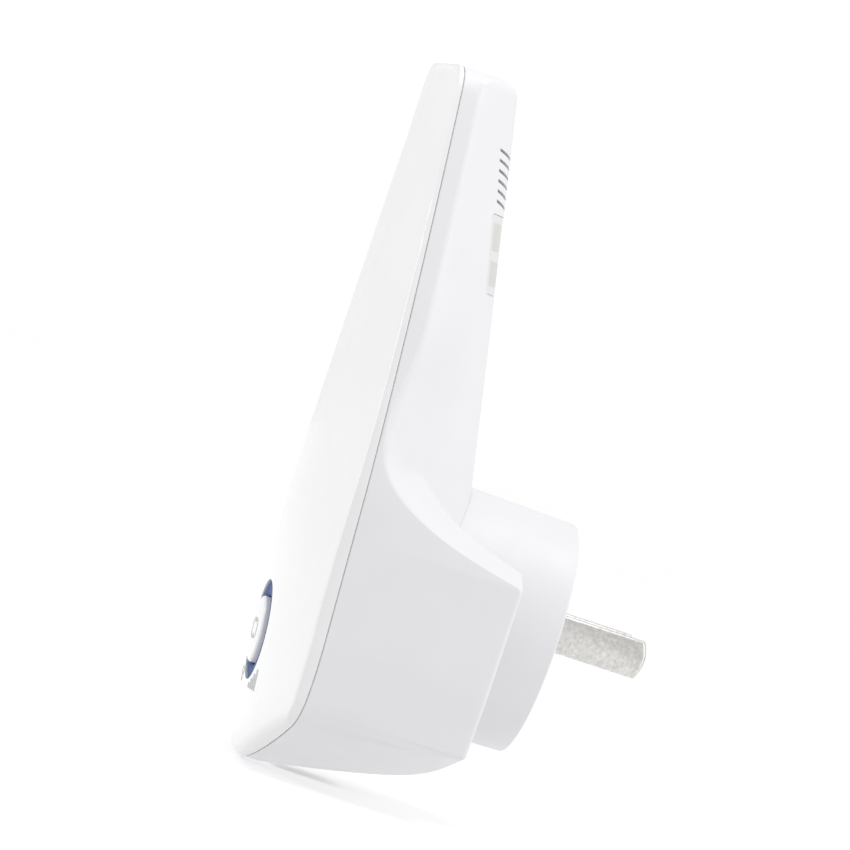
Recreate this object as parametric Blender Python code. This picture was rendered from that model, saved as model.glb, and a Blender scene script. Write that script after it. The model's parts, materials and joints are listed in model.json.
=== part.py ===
"""Plug-in wifi range extender, upright as it hangs in a wall socket.

Frame: +Z up, the pins point along +Y and the front faces -Y. The origin is midway between the
two pins, on the flat rear face of the plug housing. Sizes below are in millimetres, and MM
turns them into the scene's metres.
"""

import math

import bmesh
import bpy
import numpy as np
from mathutils import Matrix

MM = 0.001
GAP = 0.3

# Outline of the covers, seen from the front.
TOP_Z = 79.9
CHIN_Z = -34.1
CHIN_SLOPE = 0.4
CHIN_ROUND = 8.0
HALF_WIDTH = 32.5
TAPER_START_Z = 10.0
TAPER_SPAN = 62.0
TAPER_DEPTH = 12.7
TAPER_POWER = 1.6
LOW_TAPER_Z = -12.0
LOW_TAPER_GAIN = 0.07
LOW_TAPER_POWER = 1.3
CHIN_CORNER_X = 26.6
CHIN_CORNER_Z = -21.4
TOP_CORNER_X = 12.2
TOP_CORNER_Z = 75.6
SPINE_LOW_Z = -20.0
SPINE_HIGH_Z = 64.0

# Front dome and the seam between the two covers.
FRONT_Y = -44.2
FRONT_LOW_Z = 15.0
FRONT_LOW_GAIN = 1 / 714
FRONT_HIGH_Z = 45.0
FRONT_HIGH_GAIN = 1 / 3200
FRONT_CROWN_RADIUS = 132.0
FRONT_SIDE_ROUND = 0.5
FRONT_SIDE = 0.75
FRONT_TOP_ROUND = 1.6
FRONT_CHIN_ROUND = 1.6
SEAM_Y = -37.8
SEAM_LEAN = -0.0564
SEAM_CHIN_Z = -12.0
SEAM_CHIN_GAIN = 0.00028

# Back of the slim upper body.
UPPER_BACK_Y = -14.5
UPPER_BACK_LEAN = -0.209
UPPER_BACK_DIVE = 4.0
SIDE_BAND = 3.0
BAND_LEAST = 0.7
BAND_LOW_Z = 22.0
BAND_FADE = 18.0
BACK_TOP_ROUND = 1.8
UPPER_SIDE_ROUND = 0.6

# Thick lower body, its swept shoulder and its rising underside.
LOWER_BACK_Y = -10.2
SHOULDER_Z = 7.9
SHOULDER_ROUND = 1.0
SHOULDER_SLOPE = 0.275
SHOULDER_SWEEP = 0.00052
SHOULDER_REACH = 34.0
FACET_WIDTH = 5.0
FACET_LEAST = 1.4
FACET_MORE = 5.1
FACET_MIDDLE_Z = 15.5
FACET_SPREAD = 7.5
LOWER_SIDE_ROUND = 0.8
UNDERSIDE_RISE = 8.1
UNDERSIDE_FADE_X = 45.0
CHIN_STRETCH = 1.07
CORNER_FADE = 3.0
PLAIN_REACH = 2.2
FACET_REACH_Z = 20.0
FACET_REACH_FADE = 12.0
SHOULDER_MIDDLE_Z = 14.0
UNDERSIDE_RUN = 26.4
UNDERSIDE_POWER = 1.85
BLEND = 1.2
REAR_SIDE = 0.6
REAR_SIDE_INSET = 0.2

# Walls. The front cover is a shallow dish with a broad flat land along the seam.
WALL = 1.8
FRONT_WALL = 1.3
FRONT_LAND = 0.22
FRONT_LIP = 0.45

# Plug housing and pins.
HOUSING_Z = -1.9
HOUSING_RADIUS = 18.97
HOUSING_DRAFT = 0.028
HOUSING_DRAFT_END = -18.0
HOUSING_DEPTH = 21.0
HOUSING_WALL = 2.0
HOUSING_RIM = 0.4
LUG_X = 23.5
LUG_HALF = 3.6
LUG_THICK = 2.0
PIN_X = 6.35
PIN_HEIGHT = 6.2
PIN_THICK = 1.5
PIN_LENGTH = 16.4
PIN_ROOT = 8.0
PIN_BEVEL = 0.45

# Light ring, pairing button and its switch.
BUTTON_Z = -14.3
BUTTON_RADIUS = 5.6
BUTTON_FLANGE = 6.9
BUTTON_FACE_Y = -43.4
BUTTON_BACK_Y = -39.2
DOME_LEAN = 0.082
RING_OUTER = 7.95
RING_INNER = 5.9
RING_FACE_Y = -42.6
RING_BACK_Y = -40.2

# Main board.
BOARD_FRONT_Y = -35.6
BOARD_BACK_Y = -34.0
BOARD_BOTTOM_Z = -25.0
BOARD_TOP_Z = 66.0

# Network jack in the underside, to one side of the middle.
JACK_X = -7.5
JACK_HALF_X = 8.0
JACK_Y = (-33.7, -22.3)
JACK_Z = (-26.4, -8.0)
SOCKET_HALF_X = 5.9
SOCKET_Y = (-32.2, -23.8)
SOCKET_DEPTH = 14.0

# Reset switch behind its pinhole.
RESET_X = -20.0
RESET_Y = -31.9
RESET_LOW_Z = -24.8
RESET_HOLE = 0.9

# Vents and label on the back of the upper body.
VENT_ROWS = 6
VENT_FIRST_Z = 68.7
VENT_PITCH = 1.55
VENT_HEIGHT = 0.6
VENT_X = (2.6, 13.6)
VENT_SLANT = 6.5
LABEL_HALF_X = 15.0
LABEL_Z = (47.3, 59.4)
LABEL_THICK = 0.3

# Power board inside the plug housing.
POWER_BOARD_Y = (-19.6, -18.0)
POWER_BOARD_RADIUS = 15.6

SCREW_SHANK = 1.1
SCREW_HEAD = 2.3
SCREW_HOLE = 1.5
BOSS_RADIUS = 2.9
BOARD_SCREWS = {"left": (-23.0, -12.0), "right": (23.0, -12.0), "top": (0.0, 61.5)}

COLOURS = {
    "gloss_white": ((0.90, 0.90, 0.90), 0.12, 0.0),
    "satin_white": ((0.86, 0.87, 0.88), 0.42, 0.0),
    "ring_blue": ((0.01, 0.06, 0.32), 0.15, 0.0),
    "button_white": ((0.90, 0.90, 0.90), 0.20, 0.0),
    "nickel": ((0.70, 0.69, 0.67), 0.28, 1.0),
    "label_grey": ((0.50, 0.51, 0.49), 0.60, 0.0),
    "board_green": ((0.02, 0.16, 0.07), 0.45, 0.0),
    "tin": ((0.62, 0.63, 0.64), 0.35, 1.0),
    "chip_black": ((0.02, 0.02, 0.022), 0.50, 0.0),
    "copper": ((0.72, 0.42, 0.20), 0.30, 1.0),
    "sheet_amber": ((0.55, 0.33, 0.05), 0.30, 0.0),
    "sleeve_yellow": ((0.62, 0.48, 0.08), 0.45, 0.0),
    "screw_steel": ((0.42, 0.42, 0.43), 0.32, 1.0),
}


# ---------------------------------------------------------------- helpers


def clear_scene():
    for item in list(bpy.data.objects):
        bpy.data.objects.remove(item, do_unlink=True)


def material(name):
    found = bpy.data.materials.get(name)
    if found:
        return found
    colour, roughness, metallic = COLOURS[name]
    made = bpy.data.materials.new(name)
    made.use_nodes = True
    shader = made.node_tree.nodes["Principled BSDF"]
    shader.inputs["Base Color"].default_value = (*colour, 1.0)
    shader.inputs["Roughness"].default_value = roughness
    shader.inputs["Metallic"].default_value = metallic
    return made


def place(name, bm, at, finish):
    """Make an object from a bmesh in millimetres about its own origin, and put it at a point."""
    bmesh.ops.recalc_face_normals(bm, faces=bm.faces)
    bmesh.ops.scale(bm, vec=(MM, MM, MM), verts=bm.verts)
    mesh = bpy.data.meshes.new(name)
    bm.to_mesh(mesh)
    bm.free()
    mesh.shade_smooth()
    mesh.set_sharp_from_angle(angle=math.radians(35))
    item = bpy.data.objects.new(name, mesh)
    item.location = [value * MM for value in at]
    bpy.context.scene.collection.objects.link(item)
    if finish:
        mesh.materials.append(material(finish))
    else:
        item.hide_render = True
        item.display_type = "WIRE"
    return item


def bevel_edges(item, width, segments=1):
    bevel = item.modifiers.new("edges", "BEVEL")
    bevel.width = width * MM
    bevel.segments = segments
    bevel.limit_method = "ANGLE"
    return item


def box(name, low, high, finish, bevel=0.0):
    """A block between two corners, with its origin at its centre."""
    centre = [(a + b) / 2 for a, b in zip(low, high)]
    size = [b - a for a, b in zip(low, high)]
    bm = bmesh.new()
    bmesh.ops.create_cube(bm, size=1.0, matrix=Matrix.Diagonal((*size, 1.0)))
    item = place(name, bm, centre, finish)
    return bevel_edges(item, bevel) if bevel else item


def turned(name, at, profile, finish, sides=24, axis="Y"):
    """A turned solid: (radius, height along the axis) pairs, from one end round to the other."""
    bm = bmesh.new()
    closed = profile[0] == profile[-1]
    points = profile[:-1] if closed else profile
    rings = []
    for radius, height in points:
        if radius == 0:
            rings.append([bm.verts.new((0, 0, height))])
            continue
        steps = [2 * math.pi * i / sides for i in range(sides)]
        rings.append([bm.verts.new((radius * math.cos(a), radius * math.sin(a), height)) for a in steps])
    pairs = list(zip(rings, rings[1:]))
    if closed:
        pairs.append((rings[-1], rings[0]))
    for one, two in pairs:
        for i in range(sides):
            j = (i + 1) % sides
            corners = [one[i % len(one)], one[j % len(one)], two[j % len(two)], two[i % len(two)]]
            bm.faces.new(list(dict.fromkeys(corners)))
    for ring in (rings[0], rings[-1]):
        if not closed and len(ring) > 1:
            bm.faces.new(ring)
    if axis == "Y":
        bmesh.ops.rotate(bm, matrix=Matrix.Rotation(-math.pi / 2, 3, "X"), verts=bm.verts)
    return place(name, bm, at, finish)


def cylinder(name, at, radius, length, finish, sides=16, axis="Y"):
    return turned(name, at, [(radius, 0), (radius, length)], finish, sides, axis)


def plate(name, outline, low_y, high_y, finish):
    """A flat plate: an outline of (x, z) points, extruded along Y."""
    bm = bmesh.new()
    near = [bm.verts.new((x, 0, z)) for x, z in outline]
    far = [bm.verts.new((x, high_y - low_y, z)) for x, z in outline]
    bm.faces.new(near)
    bm.faces.new(far)
    for i in range(len(outline)):
        j = (i + 1) % len(outline)
        bm.faces.new((near[i], near[j], far[j], far[i]))
    return place(name, bm, (0, low_y, 0), finish)


def boolean(item, tool, operation):
    step = item.modifiers.new(tool.name, "BOOLEAN")
    step.operation = operation
    step.solver = "EXACT"
    step.object = tool
    return item


def cut(item, *tools):
    for tool in tools:
        boolean(item, tool, "DIFFERENCE")


def weld(item, *tools):
    for tool in tools:
        boolean(item, tool, "UNION")


# ---------------------------------------------------------------- body form


def chin(x):
    return CHIN_Z + CHIN_SLOPE * (np.sqrt(x * x + CHIN_ROUND**2) - CHIN_ROUND)


def half_width(z):
    up = np.clip(z - TAPER_START_Z, 0, None) / TAPER_SPAN
    down = np.clip(LOW_TAPER_Z - z, 0, None)
    return HALF_WIDTH - TAPER_DEPTH * up**TAPER_POWER - LOW_TAPER_GAIN * down**LOW_TAPER_POWER


def seam(z):
    return SEAM_Y + SEAM_LEAN * z - SEAM_CHIN_GAIN * np.clip(SEAM_CHIN_Z - z, 0, None) ** 3


def corner(start, control, end, count):
    """Points inside a quadratic curve between two points, without its ends."""
    t = np.linspace(0, 1, count + 2)[1:-1, None]
    return (1 - t) ** 2 * np.array(start) + 2 * t * (1 - t) * np.array(control) + t * t * np.array(end)


def outline(chin_count, side_steps, corner_count):
    """The closed front view outline as (x, z) rows, counter-clockwise from the chin."""
    chin_x = np.linspace(0, CHIN_CORNER_X, chin_count)
    low = np.column_stack((chin_x, chin(chin_x)))
    side = np.column_stack((half_width(side_steps), side_steps))
    slope = CHIN_SLOPE * CHIN_CORNER_X / math.hypot(CHIN_CORNER_X, CHIN_ROUND)
    run = side[0][0] - CHIN_CORNER_X
    low_control = (side[0][0] - 0.25 * run, low[-1][1] + 0.75 * run * slope)
    high_control = (half_width(np.array(TOP_Z)), TOP_Z)
    top_end = (TOP_CORNER_X, TOP_Z)
    right = np.vstack((
        low,
        corner(low[-1], low_control, side[0], corner_count),
        side,
        corner(side[-1], high_control, top_end, corner_count),
        [top_end, (TOP_CORNER_X / 2, TOP_Z), (0, TOP_Z)],
    ))
    left = right[-2:0:-1] * (-1, 1)
    return np.vstack((right, left))


def inward(loop):
    """Unit normals that point into a counter-clockwise loop."""
    along = np.roll(loop, -1, axis=0) - np.roll(loop, 1, axis=0)
    along /= np.linalg.norm(along, axis=1)[:, None]
    return np.column_stack((-along[:, 1], along[:, 0]))


def round_over(distance, radius):
    """How far a rounded edge falls away, at a distance in from the edge."""
    left = np.clip(radius - distance, 0, radius)
    return radius - np.sqrt(radius * radius - left * left)


def front_surface(x, z):
    low = np.clip(FRONT_LOW_Z - z, 0, None) ** 2 * FRONT_LOW_GAIN
    high = np.clip(z - FRONT_HIGH_Z, 0, None) ** 2 * FRONT_HIGH_GAIN
    y = FRONT_Y + low + high + x * x / (2 * FRONT_CROWN_RADIUS)
    y = y + round_over(half_width(z) - np.abs(x), FRONT_SIDE_ROUND)
    y = y + round_over(TOP_Z - z, FRONT_TOP_ROUND)
    y = y + round_over(z - chin(x), FRONT_CHIN_ROUND)
    return np.minimum(y, seam(z) - FRONT_SIDE)


def side_band(z):
    """Depth of the flat side of the slim upper body, which runs out above the shoulder."""
    part = np.clip((z - BAND_LOW_Z) / BAND_FADE, 0, 1)
    return BAND_LEAST + (SIDE_BAND - BAND_LEAST) * part * part * (3 - 2 * part)


def upper_back(x, z, inset):
    """The D section: an arc through the middle of the back and the two side bands.

    Below the shoulder it dives steeply forward, inside the lower body.
    """
    middle = UPPER_BACK_Y + UPPER_BACK_LEAN * z
    dive = UPPER_BACK_DIVE * np.clip(SHOULDER_Z - z, 0, None)
    depth = middle - seam(z) - side_band(z)
    reach = half_width(z)
    radius = (reach**2 + depth**2) / (2 * depth)
    across = np.minimum(np.abs(x) + inset * np.abs(x) / reach, reach)
    y = middle - inset - (radius - np.sqrt(radius**2 - across**2)) - dive
    y = y - round_over(half_width(z) - inset - np.abs(x), np.full_like(z, UPPER_SIDE_ROUND))
    return y - round_over(TOP_Z - inset - z, BACK_TOP_ROUND)


def shoulder(z, inset):
    """How far back the swept shoulder of the lower body reaches at a height."""
    run = np.linspace(0, SHOULDER_REACH, 200)
    rise = SHOULDER_Z + SHOULDER_SLOPE * run + SHOULDER_SWEEP * run**3
    back = LOWER_BACK_Y - SHOULDER_ROUND - np.interp(z + inset, rise, run)
    rounded = LOWER_BACK_Y - round_over(SHOULDER_Z - z - inset, SHOULDER_ROUND)
    return np.where(z + inset > SHOULDER_Z, back, rounded) - inset


def facet_drop(x, z, inset):
    """How far the swept shoulder slopes down over the last few millimetres to each side."""
    across = np.clip(1 - (half_width(z) - inset - np.abs(x)) / FACET_WIDTH, 0, 1)
    return across * (FACET_LEAST + FACET_MORE * np.exp(-(((z - FACET_MIDDLE_Z) / FACET_SPREAD) ** 2)))


def lower_back(x, z, inset):
    height = UNDERSIDE_RISE * (1 - np.abs(x) / UNDERSIDE_FADE_X)
    rise = np.clip((z - chin(x) - inset) / height, 0, 1)
    underside = LOWER_BACK_Y - inset - UNDERSIDE_RUN * (1 - rise) ** UNDERSIDE_POWER
    y = np.minimum(shoulder(z + facet_drop(x, z, inset), inset), underside)
    return y - round_over(half_width(z) - inset - np.abs(x), LOWER_SIDE_ROUND)


def back_surface(x, z, inset=0.0):
    upper = upper_back(x, z, inset)
    lower = lower_back(x, z, inset)
    mix = np.clip(0.5 + (upper - lower) / (2 * BLEND), 0, 1)
    y = lower * (1 - mix) + upper * mix + BLEND * mix * (1 - mix)
    return np.maximum(y, seam(z) + REAR_SIDE - REAR_SIDE_INSET * inset)


def towards_spine(loop, part):
    """A loop pulled in by a part of the way to the covers' vertical middle line."""
    spine = np.column_stack((np.zeros(len(loop)), np.clip(loop[:, 1], SPINE_LOW_Z, SPINE_HIGH_Z)))
    return loop + (spine - loop) * part


def edge_reach(loop):
    """How wide the shaped edge of the rear cover is, at each point of its outline."""
    low = UNDERSIDE_RISE * (1 - np.abs(loop[:, 0]) / UNDERSIDE_FADE_X) / CHIN_STRETCH
    part = np.clip((loop[:, 1] - chin(loop[:, 0])) / CORNER_FADE, 0, 1)
    away = np.clip((np.abs(loop[:, 1] - SHOULDER_MIDDLE_Z) - FACET_REACH_Z) / FACET_REACH_FADE, 0, 1)
    side = FACET_WIDTH + (PLAIN_REACH - FACET_WIDTH) * away
    return low + (side - low) * part


def shouldered(spot, inset):
    """Slide points near the sides down, so that rows of points run along the swept shoulder."""
    x, z = spot.T
    near = np.exp(-(((z - SHOULDER_MIDDLE_Z) / SHOULDER_MIDDLE_Z) ** 4))
    low = z
    for _ in range(4):
        low = z - near * facet_drop(x, low, inset)
    return np.column_stack((x + np.sign(x) * (half_width(low) - half_width(z)), low))


def rear_edge(loop, fractions, inset):
    """Rows of points from the rear cover's outline in to where its shaped edge ends."""
    reach = edge_reach(loop)[:, None] * inward(loop)
    return [shouldered(loop + reach * part, inset) for part in fractions]


def dome_rings(edge, surface, fan_steps, rim_y):
    """Rings from the rim in to the middle line, each as rows of (x, y, z)."""
    rings = [np.column_stack((edge[0][:, 0], rim_y(edge[0][:, 1]), edge[0][:, 1]))]
    for spot in edge + [towards_spine(edge[-1], part) for part in fan_steps]:
        rings.append(np.column_stack((spot[:, 0], surface(spot[:, 0], spot[:, 1]), spot[:, 1])))
    return rings


def shell(name, finish, outer, inner):
    """A cover: the rings of its outer dome and of its inner dome, which meet along the seam."""
    bm = bmesh.new()
    rows = [[bm.verts.new(point) for point in ring] for ring in outer[::-1] + inner]
    for one, two in zip(rows, rows[1:]):
        for i in range(len(one)):
            j = (i + 1) % len(one)
            bm.faces.new((one[i], one[j], two[j], two[i]))
    bmesh.ops.remove_doubles(bm, verts=bm.verts, dist=0.001)
    bmesh.ops.triangulate(bm, faces=bm.faces)
    return place(name, bm, (0, 0, 0), finish)


def patch(name, half_x, low_z, high_z, sink, lift, finish):
    """A thin curved slab on the back surface, between a depth under it and a height over it."""
    columns = np.linspace(-half_x, half_x, 13)
    rows = np.linspace(low_z, high_z, 4)
    x, z = np.meshgrid(columns, rows)
    skin = back_surface(x, z)
    bm = bmesh.new()
    sheets = []
    for level in (-sink, lift):
        grid = [[bm.verts.new((x[r][c], skin[r][c] + level, z[r][c])) for c in range(13)] for r in range(4)]
        sheets.append(grid)
        for r in range(3):
            for c in range(12):
                bm.faces.new((grid[r][c], grid[r][c + 1], grid[r + 1][c + 1], grid[r + 1][c]))
    edge = [(0, c) for c in range(12)] + [(r, 12) for r in range(3)]
    edge += [(3, c) for c in range(12, 0, -1)] + [(r, 0) for r in range(3, 0, -1)]
    for here, there in zip(edge, edge[1:] + edge[:1]):
        low, high = sheets
        corners = (low[here[0]][here[1]], low[there[0]][there[1]])
        bm.faces.new((*corners, high[there[0]][there[1]], high[here[0]][here[1]]))
    return place(name, bm, (0, 0, 0), finish)


# ---------------------------------------------------------------- covers


def side_heights():
    """Heights of the side points, closest where the shoulder crosses the side."""
    low = np.linspace(CHIN_CORNER_Z, 2, 6)
    middle = np.linspace(4, 29, 19)
    high = np.linspace(34, TOP_CORNER_Z, 7)
    return np.concatenate((low, middle, high))


def front_cover():
    loop = outline(5, np.linspace(CHIN_CORNER_Z, TOP_CORNER_Z, 13), 2)
    fan_steps = (0.2, 0.5, 0.8, 1.0)

    def rim(z):
        return seam(z) - GAP / 2

    def inside(x, z):
        return np.minimum(front_surface(x, z) + FRONT_WALL, rim(z) - FRONT_LIP)

    edge = [loop + inward(loop) * step for step in (0.0, 0.25, 0.9, 2.4)]
    outer = dome_rings(edge, front_surface, fan_steps, rim)
    inner = dome_rings([towards_spine(loop, FRONT_LAND)], inside, fan_steps, rim)
    cover = shell("front_cover", "gloss_white", outer, inner)
    hole = cylinder("ring_hole", (0, FRONT_Y - 6, BUTTON_Z), RING_OUTER + GAP, 12, None, 32)
    cut(cover, hole)


def vent_cutter():
    """One cutter for all the slots: mirrored rows that slope down to the middle."""
    bm = bmesh.new()
    reach = VENT_X[1] - VENT_X[0]
    for row in range(VENT_ROWS):
        for side in (-1, 1):
            size = Matrix.Diagonal((reach, 14, VENT_HEIGHT, 1))
            slant = Matrix.Rotation(math.radians(-side * VENT_SLANT), 4, "Y")
            spot = Matrix.Translation((side * sum(VENT_X) / 2, -28, VENT_FIRST_Z - row * VENT_PITCH))
            bmesh.ops.create_cube(bm, size=1.0, matrix=spot @ slant @ size)
    return place("vent_slots", bm, (0, 0, 0), None)


def housing_profile(clearance):
    """Outer radius and distance behind the mating face, from the face inwards."""
    drafted = HOUSING_RADIUS - HOUSING_DRAFT * HOUSING_DRAFT_END
    return [
        (HOUSING_RADIUS + clearance, 0.0),
        (drafted + clearance, HOUSING_DRAFT_END),
        (drafted + clearance, -HOUSING_DEPTH),
    ]


def rear_cover():
    loop = outline(6, side_heights(), 2)
    fan_steps = (0.1, 0.22, 0.38, 0.55, 0.78, 1.0)

    def rim(z):
        return seam(z) + GAP / 2

    def inside(x, z):
        return back_surface(x, z, WALL)

    wall = loop + inward(loop) * WALL
    outer = dome_rings(rear_edge(loop, (0.0, 0.06, 0.2, 0.45, 0.75, 1.0), 0.0), back_surface, fan_steps, rim)
    inner = dome_rings(rear_edge(wall, (0.0, 0.12, 0.45), WALL), inside, fan_steps, rim)
    cover = shell("rear_cover", "satin_white", outer, inner)
    opening = turned("plug_opening", (0, 0, HOUSING_Z), housing_profile(GAP), None, 48)
    vents = vent_cutter()
    recess = patch("label_recess", LABEL_HALF_X + GAP, LABEL_Z[0] - GAP, LABEL_Z[1] + GAP,
                   LABEL_THICK + GAP, 2.0, None)
    port = box("port_opening", (JACK_X - SOCKET_HALF_X - 0.8, SOCKET_Y[0] - 0.8, CHIN_Z - 2),
               (JACK_X + SOCKET_HALF_X + 0.8, SOCKET_Y[1] + 0.8, CHIN_Z + 8), None)
    pinhole = cylinder("reset_hole", (RESET_X, RESET_Y, CHIN_Z - 2), RESET_HOLE, 9, None, 12, "Z")
    bosses = []
    holes = []
    for side in (-1, 1):
        length = -HOUSING_DEPTH + LUG_THICK + GAP
        at = (side * LUG_X, length, HOUSING_Z)
        tag = "left" if side < 0 else "right"
        bosses.append(cylinder(f"housing_boss_{tag}", at, BOSS_RADIUS, LOWER_BACK_Y - 1 - length, None, 12))
        start = (at[0], at[1] - 2, at[2])
        holes.append(cylinder(f"housing_boss_hole_{tag}", start, SCREW_HOLE, 8, None, 12))
    for tag, (x, z) in BOARD_SCREWS.items():
        wall_y = float(back_surface(np.array([x]), np.array([z]))[0]) - 1
        start = BOARD_BACK_Y + GAP
        bosses.append(cylinder(f"board_boss_{tag}", (x, start, z), BOSS_RADIUS, wall_y - start, None, 12))
        holes.append(cylinder(f"board_boss_hole_{tag}", (x, start - 2, z), SCREW_HOLE, 5, None, 12))
    cut(cover, vents, recess, port, pinhole)
    weld(cover, *bosses)
    cut(cover, opening, *holes)


# ---------------------------------------------------------------- plug


def plug_housing():
    outer = housing_profile(0.0)
    inner_radius = HOUSING_RADIUS - HOUSING_WALL
    profile = [
        (0, 0.0),
        (HOUSING_RADIUS - HOUSING_RIM, 0.0),
        (HOUSING_RADIUS, -HOUSING_RIM),
        *outer[1:],
        (inner_radius, -HOUSING_DEPTH),
        (inner_radius, -HOUSING_WALL),
        (0, -HOUSING_WALL),
    ]
    housing = turned("plug_housing", (0, 0, HOUSING_Z), profile, "satin_white", 48)
    reach = HOUSING_RADIUS - HOUSING_WALL / 2
    for side in (-1, 1):
        tag = "left" if side < 0 else "right"
        ends = sorted((side * reach, side * (LUG_X + LUG_HALF)))
        lug = box(f"lug_{tag}", (ends[0], -HOUSING_DEPTH, HOUSING_Z - LUG_HALF),
                  (ends[1], -HOUSING_DEPTH + LUG_THICK, HOUSING_Z + LUG_HALF), None)
        at = (side * LUG_X, -HOUSING_DEPTH - 2, HOUSING_Z)
        hole = cylinder(f"lug_hole_{tag}", at, SCREW_HOLE, 6, None, 12)
        slot = box(f"pin_slot_{tag}",
                   (side * PIN_X - PIN_THICK / 2 - GAP, -HOUSING_WALL - 2, -PIN_HEIGHT / 2 - GAP),
                   (side * PIN_X + PIN_THICK / 2 + GAP, 2, PIN_HEIGHT / 2 + GAP), None)
        weld(housing, lug)
        cut(housing, hole, slot)


def pin(tag, side):
    """A flat blade with a rounded tip, bevelled along its edges."""
    outline_points = [(-PIN_ROOT, -PIN_HEIGHT / 2), (PIN_LENGTH - 0.9, -PIN_HEIGHT / 2)]
    for step in range(-2, 3):
        height = step / 3 * PIN_HEIGHT / 2
        outline_points.append((PIN_LENGTH - 0.9 * (step / 3) ** 2, height))
    outline_points += [(PIN_LENGTH - 0.9, PIN_HEIGHT / 2), (-PIN_ROOT, PIN_HEIGHT / 2)]
    bm = bmesh.new()
    near = [bm.verts.new((-PIN_THICK / 2, y, z)) for y, z in outline_points]
    far = [bm.verts.new((PIN_THICK / 2, y, z)) for y, z in outline_points]
    bm.faces.new(near)
    bm.faces.new(far)
    for i in range(len(outline_points)):
        j = (i + 1) % len(outline_points)
        bm.faces.new((near[i], near[j], far[j], far[i]))
    bmesh.ops.recalc_face_normals(bm, faces=bm.faces)
    item = place(f"pin_{tag}", bm, (side * PIN_X, 0, 0), "nickel")
    bevel_edges(item, PIN_BEVEL)


def pin_contact(tag, side):
    """A folded spring strip between a pin's root and the power board."""
    x = side * (PIN_X + PIN_THICK / 2 + GAP)
    outer = x + side * 0.6
    ends = sorted((x, outer))
    box(f"pin_contact_{tag}", (ends[0], POWER_BOARD_Y[1] + GAP, -2.0), (ends[1], -4.5, 2.0), "copper")


# ---------------------------------------------------------------- button and light


def lean(item):
    """Lean the front face of a turned piece along with the dome of the front cover."""
    for vertex in item.data.vertices:
        if vertex.co.y < -FRONT_WALL * MM:
            vertex.co.y -= DOME_LEAN * vertex.co.z


def button_and_ring():
    ring = [
        (RING_INNER, 0), (RING_INNER + 0.4, RING_FACE_Y - RING_BACK_Y - 0.3),
        (RING_INNER + 0.8, RING_FACE_Y - RING_BACK_Y - 0.35),
        (RING_OUTER - 0.4, RING_FACE_Y - RING_BACK_Y - 0.1),
        (RING_OUTER, RING_FACE_Y - RING_BACK_Y + 0.3), (RING_OUTER, 0), (RING_INNER, 0),
    ]
    lean(turned("light_ring", (0, RING_BACK_Y, BUTTON_Z), ring, "ring_blue", 40))
    depth = BUTTON_BACK_Y - BUTTON_FACE_Y
    cap = [
        (0, -depth - 0.15), (BUTTON_RADIUS * 0.6, -depth - 0.08), (BUTTON_RADIUS - 0.5, -depth + 0.05),
        (BUTTON_RADIUS, -depth + 0.5), (BUTTON_RADIUS, -0.7), (BUTTON_FLANGE, -0.7),
        (BUTTON_FLANGE, 0), (0, 0),
    ]
    lean(turned("pairing_button", (0, BUTTON_BACK_Y, BUTTON_Z), cap, "button_white", 32))
    body_front = BUTTON_BACK_Y + 1.1
    switch = box("pairing_switch", (-3, body_front, BUTTON_Z - 3), (3, BOARD_FRONT_Y - GAP, BUTTON_Z + 3),
                 "chip_black")
    bore = cylinder("switch_bore", (0, body_front - 1, BUTTON_Z), 1.9, 2.7, None, 16)
    cut(switch, bore)
    cylinder("pairing_switch_plunger", (0, BUTTON_BACK_Y + GAP, BUTTON_Z), 1.5, 1.7, "button_white", 16)
    for tag, side in (("left", -1), ("right", 1)):
        x = side * (RING_INNER + RING_OUTER) / 2
        box(f"status_light_{tag}", (x - 0.8, BOARD_FRONT_Y - GAP - 0.8, BUTTON_Z - 0.6),
            (x + 0.8, BOARD_FRONT_Y - GAP, BUTTON_Z + 0.6), "button_white")


# ---------------------------------------------------------------- main board


def main_board():
    right = [(20, BOARD_BOTTOM_Z), (26, -19), (26.5, 12), (22, 26), (19, 42), (12.5, BOARD_TOP_Z)]
    left = [(-x, z) for x, z in reversed(right)]
    board = plate("main_board", right + left, BOARD_FRONT_Y, BOARD_BACK_Y, "board_green")
    for tag, (x, z) in BOARD_SCREWS.items():
        hole = cylinder(f"board_hole_{tag}", (x, BOARD_FRONT_Y - 1, z), SCREW_HOLE, 4, None, 12)
        cut(board, hole)


def board_parts():
    back = BOARD_BACK_Y + GAP
    front = BOARD_FRONT_Y - GAP
    can = box("shield_can", (-12, back, 22), (12, back + 2.6, 44), "tin")
    hollow = box("can_hollow", (-11.6, back - 1, 22.4), (11.6, back + 2.2, 43.6), None)
    cut(can, hollow)
    box("radio_chip", (-4.5, back, 28), (4.5, back + 1, 37), "chip_black")
    box("processor_chip", (-6, front - 1.1, 4), (6, front, 16), "chip_black")
    box("memory_chip", (9, front - 1.1, 4), (17, front, 16), "chip_black")
    box("flash_chip", (-16, front - 1.3, 6), (-10.5, front, 11), "chip_black")
    box("crystal", (-3, front - 0.9, 19), (0.2, front, 21.5), "tin")
    box("network_transformer", (6, back, -24), (12, back + 3, -14.5), "chip_black")
    for tag, side in (("left", -1), ("right", 1)):
        antenna(f"antenna_{tag}", side)


def antenna(name, side):
    """A stamped inverted F: a foot, a riser, a short leg and a long arm."""
    outline_points = [(0, 46), (1.6, 46), (1.6, 54), (3.6, 54), (3.6, 46), (5.2, 46), (5.2, 54),
                      (5.2, 57.5), (1.6, 57.5), (1.6, 60), (0, 60)]
    shift = 6.5
    points = [(side * (shift + x), z) for x, z in outline_points]
    if side < 0:
        points.reverse()
    plate(name, points, BOARD_FRONT_Y - GAP - 1.0, BOARD_FRONT_Y - GAP - 0.6, "copper")


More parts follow.
